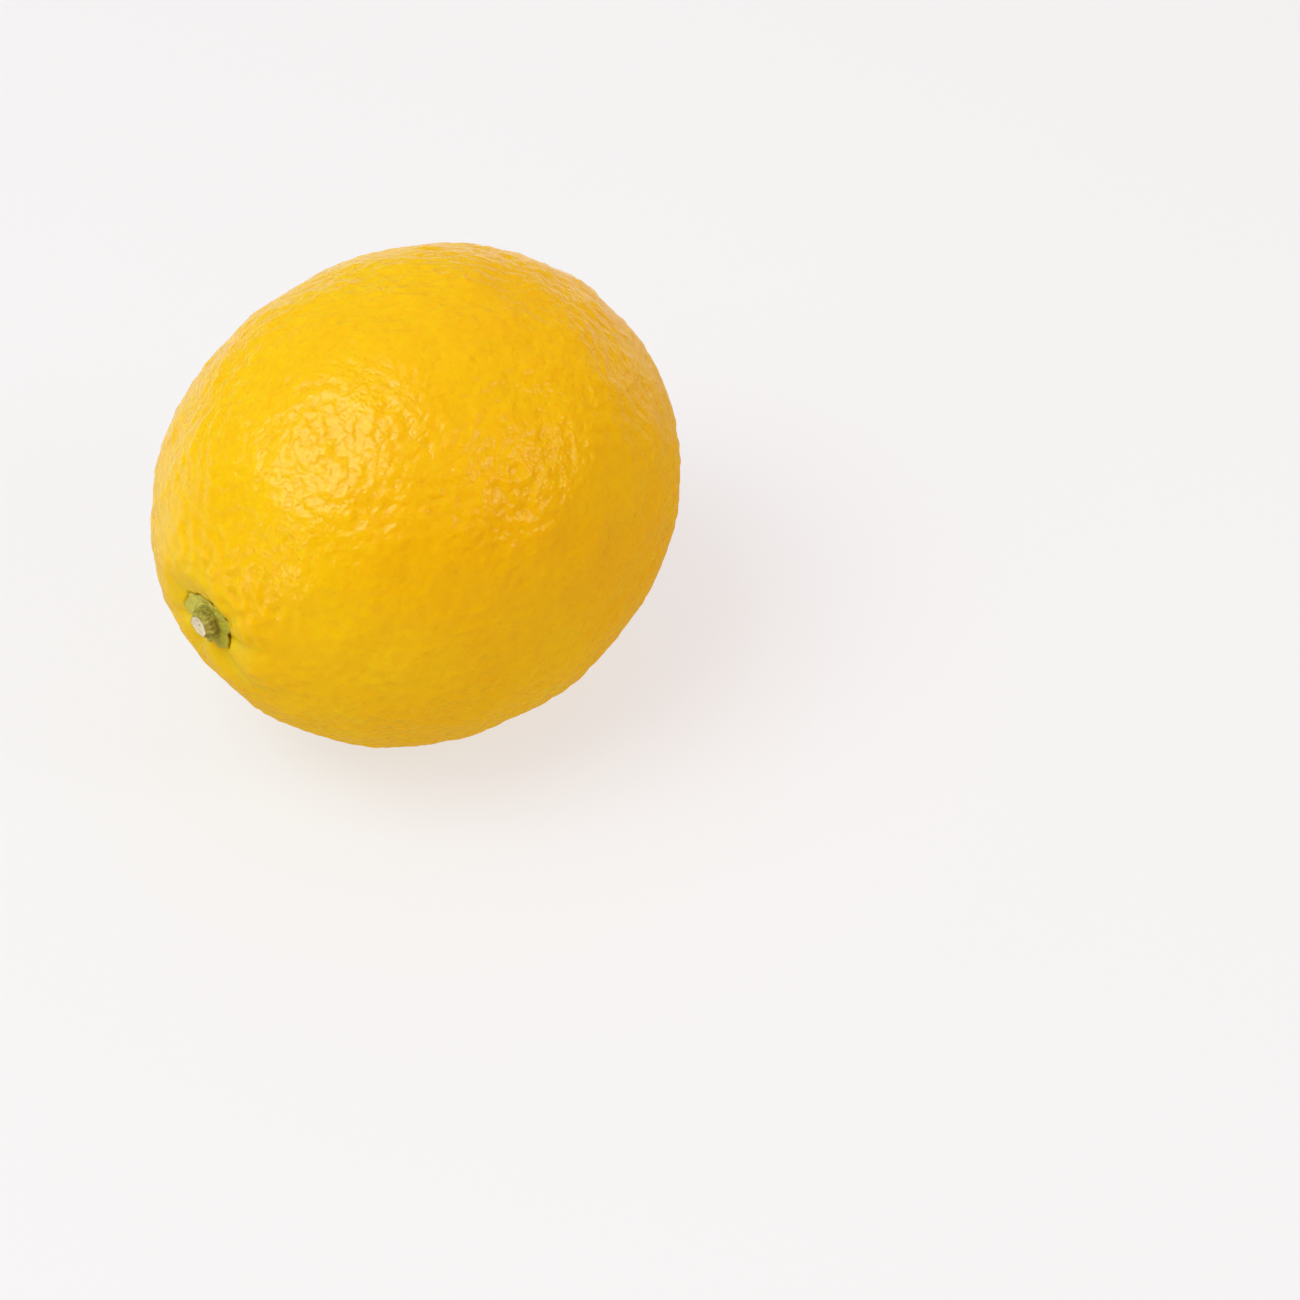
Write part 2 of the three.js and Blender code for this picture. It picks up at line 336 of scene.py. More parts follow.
def dimples(points):
    """Depth share of the dimple at each point, from 0 between glands to 1."""
    glands, depths = gland_points()
    tree = KDTree(len(glands))
    for i, gland in enumerate(glands):
        tree.insert(gland, i)
    tree.balance()
    nearest = [tree.find(point) for point in points]
    away = np.array([found[2] for found in nearest])
    deep = depths[[found[1] for found in nearest]]
    return deep * bell(away, 0, DIMPLE_RADIUS)


def pebbles(points):
    """Wavy swellings between the glands."""
    rng = np.random.default_rng(SKIN_SEED + 1)
    height = np.zeros(len(points))
    for direction in even_directions(PEBBLE_WAVES):
        length = rng.uniform(*PEBBLE_LENGTHS)
        phase = rng.uniform(0, 2 * math.pi)
        height += np.sin(points @ direction * 2 * math.pi / length + phase)
    return height * PEBBLE_HEIGHT / math.sqrt(PEBBLE_WAVES / 2)


def relief_strength(radius, turn, stem_side):
    """Share of the relief: little in the cup, more where the rind is crumpled."""
    calm = smoothstep(radius, CALYX_RADIUS, CRUMPLE_RADIUS)
    crumple = bell(turned_from(turn, CRUMPLE_SIDE), 0, CRUMPLE_SPREAD)
    crumple *= bell(radius, CRUMPLE_RADIUS, CRUMPLE_WIDTH) * stem_side
    return CALM_SHARE + (1 - CALM_SHARE) * calm + CRUMPLE * crumple


print("oil glands:", len(gland_points()[0]))

# %% [markdown]
# ## The fruit's mesh
#
# A globe of longitudes and latitudes crowds its vertices at the poles. A cube cut into
# a fine grid and blown up into a ball has nearly even squares all over, so that the
# rind's relief comes out alike everywhere. The tangent keeps the squares even while the
# cube turns round. The grid is cut once more round the two ends, which have the finest
# shapes. The masks tell the material how far a point is from either end, and where
# dimples and furrows are.

# %% Fruit
FRUIT_CUTS = 119
STEM_PATCH = 0.42
NIPPLE_PATCH = 0.2
ON_SIDE = 0.999
OUT_OF_REACH = 99


def finished(name, bm):
    """An object with the bmesh's mesh, shaded smooth, in the scene."""
    mesh = bpy.data.meshes.new(name)
    bm.to_mesh(mesh)
    bm.free()
    mesh.shade_smooth()
    piece = bpy.data.objects.new(name, mesh)
    bpy.context.collection.objects.link(piece)
    return piece


def triangle_count(mesh):
    return sum(len(polygon.vertices) - 2 for polygon in mesh.polygons)


def vertex_array(mesh):
    flat = np.empty(len(mesh.vertices) * 3)
    mesh.vertices.foreach_get("co", flat)
    return flat.reshape(-1, 3)


def move_vertices(mesh, places):
    mesh.vertices.foreach_set("co", np.asarray(places).ravel())
    mesh.update()


def add_mask(mesh, name, values):
    """A number for each vertex, which materials read as an attribute."""
    attribute = mesh.attributes.new(name, "FLOAT", "POINT")
    attribute.data.foreach_set("value", np.asarray(values, dtype=np.float32))


def refine_end(bm, side, half_width):
    """Cuts the grid once more round the middle of the cube's side at -X or +X."""
    def in_patch(vertex):
        x, y, z = vertex.co
        return x * side > ON_SIDE and max(abs(y), abs(z)) < half_width

    edges = [edge for edge in bm.edges if all(in_patch(vertex) for vertex in edge.verts)]
    bmesh.ops.subdivide_edges(bm, edges=edges, cuts=1, use_grid_fill=True)


def make_fruit():
    bm = bmesh.new()
    bmesh.ops.create_cube(bm, size=2)
    bmesh.ops.subdivide_edges(bm, edges=bm.edges, cuts=FRUIT_CUTS, use_grid_fill=True)
    refine_end(bm, -1, STEM_PATCH)
    refine_end(bm, 1, NIPPLE_PATCH)
    fruit = finished("lemon_rind", bm)

    cube = np.tan(vertex_array(fruit.data) * math.pi / 4)
    direction = cube / np.linalg.norm(cube, axis=1, keepdims=True)
    point = direction * HALF_SIZES
    normal = direction / HALF_SIZES
    normal /= np.linalg.norm(normal, axis=1, keepdims=True)
    radius = np.hypot(point[:, 1], point[:, 2])
    turn = np.arctan2(point[:, 2], point[:, 1])
    stem_side = point[:, 0] < 0

    dimple = dimples(point)
    skin = pebbles(point) - DIMPLE_DEPTH * dimple
    relief = lumps(point) + skin * relief_strength(radius, turn, stem_side)
    along = np.where(
        stem_side, -stem_relief(radius, turn), nipple_relief(point[:, 1], point[:, 2])
    )
    place = point + normal * relief[:, None] + CENTRE
    place[:, 0] += along
    place[:, 2] = np.maximum(place[:, 2], 0)
    move_vertices(fruit.data, place)

    off_nipple = np.hypot(point[:, 1] - NIPPLE_OFFSET[0], point[:, 2] - NIPPLE_OFFSET[1])
    masks = {
        "dimple": dimple,
        "furrow": np.where(stem_side, furrows(radius, turn), 0),
        "from_stem": np.where(stem_side, radius / MM, OUT_OF_REACH),
        "from_nipple": np.where(stem_side, OUT_OF_REACH, off_nipple / MM),
    }
    for name, values in masks.items():
        add_mask(fruit.data, name, values)
    return fruit


fruit = make_fruit()
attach(fruit, "root")
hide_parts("fruit")
print("fruit:", triangle_count(fruit.data), "triangles")

# %% [markdown]
# ## The calyx
#
# The calyx is what is left of the flower's sepals: a small leathery collar with blunt
# lobes, fine teeth along its edge and low ribs, which lies in the cup at the stem end.
# It could be cut from a sheet, but it is thick in the middle and thin at its edge. So a
# profile is spun round the long axis into a round disc with a soft edge, whose outline,
# thickness and curl are then given to it by formulas.

# %% Calyx
STEM_SHIFT = 0.42 * MM
CALYX_EDGE_THICKNESS = 0.42 * MM
CALYX_CURL = 0.22 * MM
CURL_WAVES = [(0.6, 3, 1.4)]
EDGE_GAP = 0.08 * MM
GAP_NARROWS = (0.5, 0.9)
TROUGH_RADIUS = 2.2 * MM
TROUGH_WIDTH = 0.28 * MM
TROUGH_DEPTH = 0.2 * MM
RIB_HEIGHT = 0.1 * MM
RIB_WAVES = [(1, 10, 1.0)]
RIB_STARTS = (0.6, 0.85)
FINE_RIB_HEIGHT = 0.03 * MM
FINE_RIB_COUNT = 34
FINE_RIB_WANDER = 3
FINE_RIB_STARTS = (0.5, 0.8)
TOOTH_WAVES = [(0.15, 9, -0.8), (0.04, 23, 1.0)]
DISC_EDGE = 0.12
SEAT_DEPTH = 0.35 * MM
SEAT_EDGE = 0.75
CALYX_FLAT_RINGS = 40
CALYX_EDGE_RINGS = 12
CALYX_STEPS = 240
MERGE_DISTANCE = 1e-6
# The side, as a turn, that the finish paints paler as painted light from the lamps; the
# far side gets painted shade
LIT_SIDE = 0.5


def spun(name, profile, steps):
    """A solid of revolution round X. The profile gives (radius, height towards -X)."""
    bm = bmesh.new()
    corners = [bm.verts.new((-height, radius, 0)) for radius, height in profile]
    edges = [bm.edges.new(pair) for pair in zip(corners, corners[1:])]
    bmesh.ops.spin(
        bm, geom=corners + edges, cent=(0, 0, 0), axis=(1, 0, 0),
        angle=2 * math.pi, steps=steps, use_merge=True,
    )
    bmesh.ops.remove_doubles(bm, verts=bm.verts, dist=MERGE_DISTANCE)
    bmesh.ops.recalc_face_normals(bm, faces=bm.faces)
    return finished(name, bm)


def disc_profile():
    """Outline of a disc of radius 1 and height 1 with a half-round edge."""
    flat = np.linspace(0, 1 - DISC_EDGE, CALYX_FLAT_RINGS)
    angle = np.linspace(-math.pi / 2, math.pi / 2, CALYX_EDGE_RINGS)[1:-1]
    reach = 1 - DISC_EDGE + DISC_EDGE * np.cos(angle)
    edge = list(zip(reach, 0.5 + 0.5 * np.sin(angle)))
    return [(r, 0) for r in flat] + edge + [(r, 1) for r in flat[::-1]]


def spun_places(mesh):
    """Radius, turn and height of each vertex of a spun mesh."""
    x, y, z = vertex_array(mesh).T
    return np.hypot(y, z), np.arctan2(z, y), -x


def place_round_axis(mesh, radius, turn, height, shift=0.0):
    """Moves a spun mesh to the stem end. Height runs along -X from the ovoid's centre."""
    y, z = radius * np.cos(turn), radius * np.sin(turn) + shift
    move_vertices(mesh, np.stack([-height, y, z], axis=1) + CENTRE)


def cup_floor(radius, turn):
    """Height of the rind at the stem end, from the ovoid's centre."""
    ovoid = HALF_LENGTH * np.sqrt(1 - (radius / HALF_DIAMETER) ** 2)
    return ovoid + stem_relief(radius, turn)


def make_calyx():
    calyx = spun("calyx_collar", disc_profile(), CALYX_STEPS)
    share, turn, level = spun_places(calyx.data)
    radius = share * (calyx_reach(turn) + MM * waves(turn, TOOTH_WAVES))
    thickness = CALYX_THICKNESS + (CALYX_EDGE_THICKNESS - CALYX_THICKNESS) * share**2
    rib = RIB_HEIGHT * waves(turn, RIB_WAVES) * smoothstep(share, *RIB_STARTS)
    fine_rib = np.cos(FINE_RIB_COUNT * turn + FINE_RIB_WANDER * np.sin(3 * turn))
    fine_rib *= FINE_RIB_HEIGHT * smoothstep(share, *FINE_RIB_STARTS)
    off_stem = np.hypot(radius * np.cos(turn), radius * np.sin(turn) - STEM_SHIFT)
    trough = TROUGH_DEPTH * bell(off_stem, TROUGH_RADIUS, TROUGH_WIDTH)
    curl = CALYX_CURL * share**4 * (1 + waves(turn, CURL_WAVES))
    gap = FIT_GAP + (EDGE_GAP - FIT_GAP) * smoothstep(share, *GAP_NARROWS)
    seat = SEAT_DEPTH * (1 - smoothstep(share, SEAT_EDGE, 1)) * (1 - level)
    height = cup_floor(radius, turn) + gap + curl - seat
    height += level * (thickness + rib + fine_rib - trough)
    place_round_axis(calyx.data, radius, turn, height)
    add_mask(calyx.data, "share", share)
    add_mask(calyx.data, "off_stem", off_stem / MM)
    # Painted light: a share that is 1 on the side towards the lamps and 0 on the far side
    add_mask(calyx.data, "pale", 0.5 + 0.5 * np.cos(turn - LIT_SIDE))
    return calyx


calyx = make_calyx()
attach(calyx, "root")
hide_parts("calyx")
print("calyx:", triangle_count(calyx.data), "triangles")

# %% [markdown]
# ## The end of the stem
#
# The stalk swells into a knobbly ring where it meets the calyx. Above it the picker's
# clippers have cut it square, so its end shows pale wood with a thin dark bark round it
# and a speck of pith. It stands a little above the middle of the calyx, as few stalks
# are quite central. It is spun from a smooth profile too, and then roughened: a plain
# cylinder would look turned on a lathe.

# %% Stem
RING_RADIUS = 1.98 * MM
RING_HEIGHT = 0.66 * MM
RING_ROUNDING = 0.28 * MM
NECK_HEIGHT = 0.84 * MM
NECK_FLARE = 0.1 * MM
STUB_RADIUS = 1.48 * MM
CUT_HEIGHT = 1.13 * MM
CUT_BEVEL = 0.12 * MM
CUT_DISH = 0.2 * MM
CUT_GRAIN_RISE = 0.03 * MM
CUT_GRAIN_RAYS = 13
CUT_GRAIN_SWIRL = 9
STUB_STEPS = 288
SIDE_RINGS = 40
CUT_RINGS = 28
STUB_WAVES = [(0.05, 3, 0.5), (0.035, 7, 2.0), (0.012, 31, 0.0)]
KNOB_COUNT = 13
KNOB_RISE = 0.22 * MM
KNOB_LEVEL = 0.55 * RING_HEIGHT
KNOB_WIDTH = 0.4 * MM
KNOB_WANDER = 1.6
KNOB_BLUNTNESS = 0.8
KNOB_BASE = 0.75
KNOB_WAVES = [(0.25, 5, 0.7)]
KNOB_MEAN = 0.6


def smooth_line(points, count):
    """Points on a smooth curve through the given ones, by a Catmull-Rom spline."""
    points = np.array(points)
    ends = np.vstack([2 * points[0] - points[1], points, 2 * points[-1] - points[-2]])
    line = []
    for t in np.linspace(0, len(points) - 1, count):
        i = min(int(t), len(points) - 2)
        f = t - i
        a, b, c, d = ends[i : i + 4]
        line.append(0.5 * (
            2 * b + (c - a) * f + (2 * a - 5 * b + 4 * c - d) * f**2
            + (3 * b - a - 3 * c + d) * f**3
        ))
    return line


def make_stem():
    foot_level = -SEAT_DEPTH - FIT_GAP
    cut_radius = STUB_RADIUS - CUT_BEVEL
    side = smooth_line([
        (RING_RADIUS - RING_ROUNDING, foot_level),
        (RING_RADIUS, RING_HEIGHT / 2),
        (RING_RADIUS - RING_ROUNDING, RING_HEIGHT),
        (STUB_RADIUS + NECK_FLARE, NECK_HEIGHT),
        (STUB_RADIUS, CUT_HEIGHT - CUT_BEVEL),
        (cut_radius, CUT_HEIGHT),
    ], SIDE_RINGS)
    cut = [(cut_radius * share, CUT_HEIGHT) for share in np.linspace(1, 0, CUT_RINGS)[1:]]
    profile = [(0, foot_level)] + [tuple(point) for point in side] + cut
    # Spun in millimetres, so that the merging of doubles leaves its fine rings alone.
    stem = spun("stem_end", [(r / MM, h / MM) for r, h in profile], STUB_STEPS)
    radius, turn, height = spun_places(stem.data)
    radius, height = radius * MM, height * MM
    on_cut = (height > CUT_HEIGHT - MERGE_DISTANCE) & (radius < cut_radius)
    ring = bell(height, KNOB_LEVEL, KNOB_WIDTH)
    knob_angle = (KNOB_COUNT * turn + KNOB_WANDER * np.sin(2 * turn + 1)) / 2
    knob = np.abs(np.cos(knob_angle)) ** KNOB_BLUNTNESS
    knob *= KNOB_BASE + waves(turn, KNOB_WAVES)
    swelling = KNOB_RISE * ring * (knob - KNOB_MEAN)
    outwards = radius * (1 + waves(turn, STUB_WAVES)) + swelling
    height = height + 0.5 * swelling * (height > RING_HEIGHT / 2)
    share = radius / cut_radius
    rays = np.sin(turn * CUT_GRAIN_RAYS + share * CUT_GRAIN_SWIRL)
    height -= on_cut * (CUT_DISH * (1 - share**2) + CUT_GRAIN_RISE * rays * share)
    place_round_axis(stem.data, outwards, turn, STUB_FOOT + height, STEM_SHIFT)
    add_mask(stem.data, "on_cut", on_cut)
    add_mask(stem.data, "off_axis", radius / MM)
    add_mask(stem.data, "up_stem", height / MM)
    # Where the finish paints shade between the ring's knobs
    add_mask(stem.data, "knob_shade", ring * (1 - knob))
    return stem


stem = make_stem()
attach(stem, "root")
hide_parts("stem_stub")
print("stem:", triangle_count(stem.data), "triangles")

# %% [markdown]
# ## Materials: small helpers
#
# A material is a graph of nodes. These helpers add a node, set its inputs and link
# them, so that each finish below reads as a list of what it is made of. A mask is a
# number that the mesh carries for each vertex. Mapped moves a value from one range to
# another, and mixed lays one colour over another.

# %% Node helpers
def feed(tree, socket, value):
    """Links the socket to the value if that is an output, and otherwise sets it."""
    if isinstance(value, bpy.types.NodeSocket):
        tree.links.new(value, socket)
    else:
        socket.default_value = value


def feed_all(tree, node, inputs):
    for name, value in inputs.items():
        feed(tree, node.inputs[name], value)


def add_node(tree, kind, inputs=None, **settings):
    node = tree.nodes.new(kind)
    for name, value in settings.items():
        setattr(node, name, value)
    feed_all(tree, node, inputs or {})
    return node


def new_material(name):
    """A material with only its output and a Principled shader, and its tree."""
    material = bpy.data.materials.new(name)
    material.use_nodes = True
    tree = material.node_tree
    return material, tree, tree.nodes["Principled BSDF"]


def mixed(tree, factor, a, b):
    """Colour a where factor is 0 and b where it is 1."""
    mix = add_node(tree, "ShaderNodeMix", data_type="RGBA")
    sockets = {socket.identifier: socket for socket in mix.inputs}
    feed(tree, sockets["Factor_Float"], factor)
    feed(tree, sockets["A_Color"], a)
    feed(tree, sockets["B_Color"], b)
    return next(s for s in mix.outputs if s.identifier == "Result_Color")


def mapped(tree, value, from_low, from_high, to_low=0.0, to_high=1.0):
    """A value moved from one range to another, clamped and eased."""
    inputs = {
        "Value": value,
        "From Min": from_low,
        "From Max": from_high,
        "To Min": to_low,
        "To Max": to_high,
    }
    node = add_node(tree, "ShaderNodeMapRange", inputs, interpolation_type="SMOOTHSTEP")
    return node.outputs["Result"]


def math_node(tree, operation, a, b):
    node = add_node(tree, "ShaderNodeMath", operation=operation)
    feed(tree, node.inputs[0], a)
    feed(tree, node.inputs[1], b)
    return node.outputs["Value"]


def mask(tree, name):
    return add_node(tree, "ShaderNodeAttribute", attribute_name=name).outputs["Fac"]


def object_place(tree):
    return add_node(tree, "ShaderNodeTexCoord").outputs["Object"]


# %% [markdown]
# ## Effects that several finishes share
#
# The rind, the calyx and the wood all have blotches of a second tone, and a fine
# roughness that is too small for the meshes. Each is a node group, built once and
# placed in every material with its own grain. Mottling gives a share from 0 to 1. Fine
# relief gives a height in metres for a Bump node: a soft noise with small round pits in
# it. It also gives a mask of the pits, so that they can be darker. Noise has a faint
# grid along its own axes, so it is turned away from those of the piece.

# %% Shared node groups
PIT_RADII = (0.1, 0.36)
NOISE_TURN = (0.5, 0.7, 0.3)


def new_group(name, inputs, outputs):
    """A node group with a place, numbers with their usual values, and outputs."""
    group = bpy.data.node_groups.new(name, "ShaderNodeTree")
    group.interface.new_socket("Place", in_out="INPUT", socket_type="NodeSocketVector")
    for socket_name, value in inputs.items():
        socket = group.interface.new_socket(
            socket_name, in_out="INPUT", socket_type="NodeSocketFloat"
        )
        socket.default_value = value
    for socket_name in outputs:
        group.interface.new_socket(
            socket_name, in_out="OUTPUT", socket_type="NodeSocketFloat"
        )
    given = group.nodes.new("NodeGroupInput").outputs
    return group, given, group.nodes.new("NodeGroupOutput")


def make_mottling():
    usual = {"Grain": 2 * MM, "Softness": 0.15}
    group, given, result = new_group("mottling", usual, ["Share"])
    scale = math_node(group, "DIVIDE", 1.0, given["Grain"])
    noise = add_node(group, "ShaderNodeTexNoise", {
        "Vector": given["Place"], "Scale": scale, "Detail": 3.0, "Roughness": 0.5,
    }).outputs["Fac"]
    low = math_node(group, "SUBTRACT", 0.5, given["Softness"])
    high = math_node(group, "ADD", 0.5, given["Softness"])
    group.links.new(mapped(group, noise, low, high), result.inputs["Share"])
    return group


def make_fine_relief():
    usual = {
        "Grain": 0.6 * MM, "Rise": 0.02 * MM, "Pit Spacing": 1.0 * MM, "Pit Depth": 0.0,
    }
    group, given, result = new_group("fine_relief", usual, ["Height", "Pit"])
    turned = add_node(group, "ShaderNodeMapping", {
        "Vector": given["Place"], "Rotation": NOISE_TURN,
    }).outputs["Vector"]
    scale = math_node(group, "DIVIDE", 1.0, given["Grain"])
    noise = add_node(group, "ShaderNodeTexNoise", {
        "Vector": turned, "Scale": scale, "Detail": 1.0, "Roughness": 0.45,
    }).outputs["Fac"]
    pit_scale = math_node(group, "DIVIDE", 1.0, given["Pit Spacing"])
    cells = add_node(group, "ShaderNodeTexVoronoi", {
        "Vector": given["Place"], "Scale": pit_scale, "Randomness": 0.9,
    }, feature="F1").outputs["Distance"]
    pit = mapped(group, cells, *PIT_RADII, 1.0, 0.0)
    rise = math_node(group, "MULTIPLY", noise, given["Rise"])
    sunk = math_node(group, "MULTIPLY", pit, given["Pit Depth"])
    group.links.new(math_node(group, "SUBTRACT", rise, sunk), result.inputs["Height"])
    group.links.new(pit, result.inputs["Pit"])
    return group


MOTTLING = make_mottling()
FINE_RELIEF = make_fine_relief()


def mottling(tree, grain, softness):
    node = add_node(tree, "ShaderNodeGroup", node_tree=MOTTLING)
    feed_all(tree, node, {
        "Place": object_place(tree), "Grain": grain, "Softness": softness,
    })
    return node.outputs["Share"]


def fine_relief(tree, grain, rise, pit_spacing, pit_depth):
    """The height in metres, and the mask of the pits."""
    node = add_node(tree, "ShaderNodeGroup", node_tree=FINE_RELIEF)
    feed_all(tree, node, {
        "Place": object_place(tree), "Grain": grain, "Rise": rise,
        "Pit Spacing": pit_spacing, "Pit Depth": pit_depth,
    })
    return node.outputs["Height"], node.outputs["Pit"]


def roughen(tree, shader, height):
    """Gives the shader a normal from a height in metres."""
    bump = add_node(tree, "ShaderNodeBump", {
        "Height": height, "Distance": 1.0, "Strength": 1.0,
    })
    tree.links.new(bump.outputs["Normal"], shader.inputs["Normal"])


print("node groups:", [group.name for group in (MOTTLING, FINE_RELIEF)])

# %% [markdown]
# ## The rind's finish
#
# Ripe rind is a deep warm yellow that drifts towards orange in wide soft patches. Its
# gland pits are a touch darker, the creases round the stem stay yellow-green, and the
# scar at the nipple is brown. Each of these lies over the last as one more layer of
# colour, steered by a mask of the mesh, because a pattern alone can't know where the
# ends are. A thin wax makes the rind softly glossy, and a little light passes under the
# skin.

# %% Rind finish
RIND_YELLOW = (0.88, 0.58, 0.0, 1)
RIND_WARM = (0.86, 0.52, 0.0, 1)
RIND_FLECK = (0.82, 0.45, 0.0, 1)
GLAND_ORANGE = (0.74, 0.40, 0.0, 1)
PORE_ORANGE = (0.72, 0.37, 0.0, 1)
RIND_GREEN = (0.72, 0.56, 0.0, 1)
HALO_GREEN = (0.62, 0.46, 0.01, 1)
SCAR_DARK = (0.11, 0.07, 0.02, 1)
SCAR_PALE = (0.30, 0.20, 0.05, 1)
# Distances from the axis at each end, in millimetres
RELIEF_GROWS = (5, 24)
GREEN_FADES = (4, 11)
HALO_FADES = (1.2, 3.6)
SCAR_EDGE = (1.1, 1.6)
RIND_SURFACE = {
    "Roughness": 0.24,
    "Specular IOR Level": 0.29,
    "Specular Tint": (1, 0.96, 0.85, 1),
    "Subsurface Weight": 0.8,
    "Subsurface Radius": (1.0, 0.6, 0.2),
    "Subsurface Scale": 1.6 * MM,
}


def rind_colour(tree, pore):
    """Yellow in two tones, flecked, and darker in the pits."""
    wide = mottling(tree, 24 * MM, 0.2)
    colour = mixed(tree, wide, RIND_YELLOW, RIND_WARM)
    fleck = mapped(tree, mottling(tree, 1.6 * MM, 0.3), 0, 1, 0, 0.22)
    colour = mixed(tree, fleck, colour, RIND_FLECK)
    gland = mapped(tree, mask(tree, "dimple"), 0.4, 1, 0, 0.35)
    colour = mixed(tree, gland, colour, GLAND_ORANGE)
    return mixed(tree, mapped(tree, pore, 0.1, 1, 0, 0.12), colour, PORE_ORANGE)


def greened(tree, colour):
    """The colour, turned greener round the stem and in the creases."""
    ring = mapped(tree, mask(tree, "from_stem"), *GREEN_FADES, 0.4, 0)
    crease = mapped(tree, mask(tree, "furrow"), 0.1, 0.7, 0, 0.5)
    return mixed(tree, math_node(tree, "MAXIMUM", ring, crease), colour, RIND_GREEN)


def scarred(tree, colour):
    """The colour, with the ragged brown scar of the style and a green halo round it."""
    ragged = mottling(tree, 0.5 * MM, 0.25)
    shift = mapped(tree, ragged, 0, 1, 0, 0.6)
    off_scar = math_node(tree, "ADD", mask(tree, "from_nipple"), shift)
    halo = mapped(tree, off_scar, *HALO_FADES, 0.5, 0)
    colour = mixed(tree, halo, colour, HALO_GREEN)
    scar = mapped(tree, off_scar, *SCAR_EDGE, 0.85, 0)
    return mixed(tree, scar, colour, mixed(tree, ragged, SCAR_DARK, SCAR_PALE))


def rind_material():
    material, tree, shader = new_material("lemon_rind")
    rise = mapped(tree, mask(tree, "from_stem"), *RELIEF_GROWS, 0.07 * MM, 0.25 * MM)
    height, pore = fine_relief(tree, 1.0 * MM, rise, 0.95 * MM, 0.026 * MM)
    colour = scarred(tree, greened(tree, rind_colour(tree, pore)))
    feed(tree, shader.inputs["Base Color"], colour)
    feed_all(tree, shader, RIND_SURFACE)
    roughen(tree, shader, height)
    return material


fruit.data.materials.append(rind_material())
print("rind finish:", len(fruit.data.materials[0].node_tree.nodes), "nodes")

# %% [markdown]
# ## The calyx and the stem's finish
#
# The calyx is pale yellow-green and nearly matt. Its colour carries painted light and
# shade: paler on the side towards the lamps, darker on the other, with a painted shadow
# in the groove round the stalk. The ring is a darker green with a corky skin and painted
# shade between its knobs. The cut shows grey-cream wood inside a thin brown edge. A
# painted image could hold this, but here masks of the mesh steer it, such as the distance
# from the stem's axis, so that it follows the shape wherever that is uneven.

# %% Calyx and stem finish
# The calyx's colour on its shaded side and on its lit side: painted shade and painted
# light
CALYX_SHADED_SIDE = (0.37, 0.345, 0.008, 1)
CALYX_LIT_SIDE = (0.64, 0.585, 0.10, 1)
CALYX_BLOTCH = (0.36, 0.35, 0.02, 1)
# A painted shadow in the groove round the stalk, where the ring shades the calyx
GROOVE_SHADOW = (0.15, 0.13, 0.012, 1)
CALYX_EDGE = (0.55, 0.47, 0.07, 1)
CALYX_SURFACE = {"Roughness": 0.55, "Specular IOR Level": 0.25}
BARK_DARK = (0.27, 0.26, 0.025, 1)
BARK_PALE = (0.48, 0.43, 0.08, 1)
# Painted shade between the ring's knobs
KNOB_SHADE = (0.11, 0.095, 0.012, 1)
RIM_BROWN = (0.20, 0.15, 0.05, 1)
WOOD_PALE = (0.80, 0.72, 0.50, 1)
WOOD_DARK = (0.66, 0.58, 0.38, 1)
PITH_BROWN = (0.24, 0.19, 0.08, 1)
WOOD_EDGE = (0.30, 0.25, 0.10, 1)
STEM_SURFACE = {"Roughness": 0.75, "Specular IOR Level": 0.25}
# Distances from the stem's axis, and a height on the stem, in millimetres
GROOVE_SHADOW_FADES = (2.0, 2.14)
PITH_FADES = (0.12, 0.3)
WOOD_EDGE_STARTS = (1.2, 1.4)
RIM_STARTS = (0.95, 1.2)


def calyx_material():
    material, tree, shader = new_material("calyx_green")
    # Painted light and shade: paler on the side towards the lamps, darker on the other
    colour = mixed(tree, mask(tree, "pale"), CALYX_SHADED_SIDE, CALYX_LIT_SIDE)
    blotch = mapped(tree, mottling(tree, 1.2 * MM, 0.15), 0, 1, 0, 0.5)
    colour = mixed(tree, blotch, colour, CALYX_BLOTCH)
    # Painted shadow in the groove round the stalk
    groove_shadow = mapped(tree, mask(tree, "off_stem"), *GROOVE_SHADOW_FADES, 0.65, 0)
    colour = mixed(tree, groove_shadow, colour, GROOVE_SHADOW)
    edge = mapped(tree, mask(tree, "share"), 0.8, 1.0, 0, 0.5)
    feed(tree, shader.inputs["Base Color"], mixed(tree, edge, colour, CALYX_EDGE))
    feed_all(tree, shader, CALYX_SURFACE)
    roughen(tree, shader, fine_relief(tree, 0.4 * MM, 0.05 * MM, 0.5 * MM, 0.01 * MM)[0])
    return material


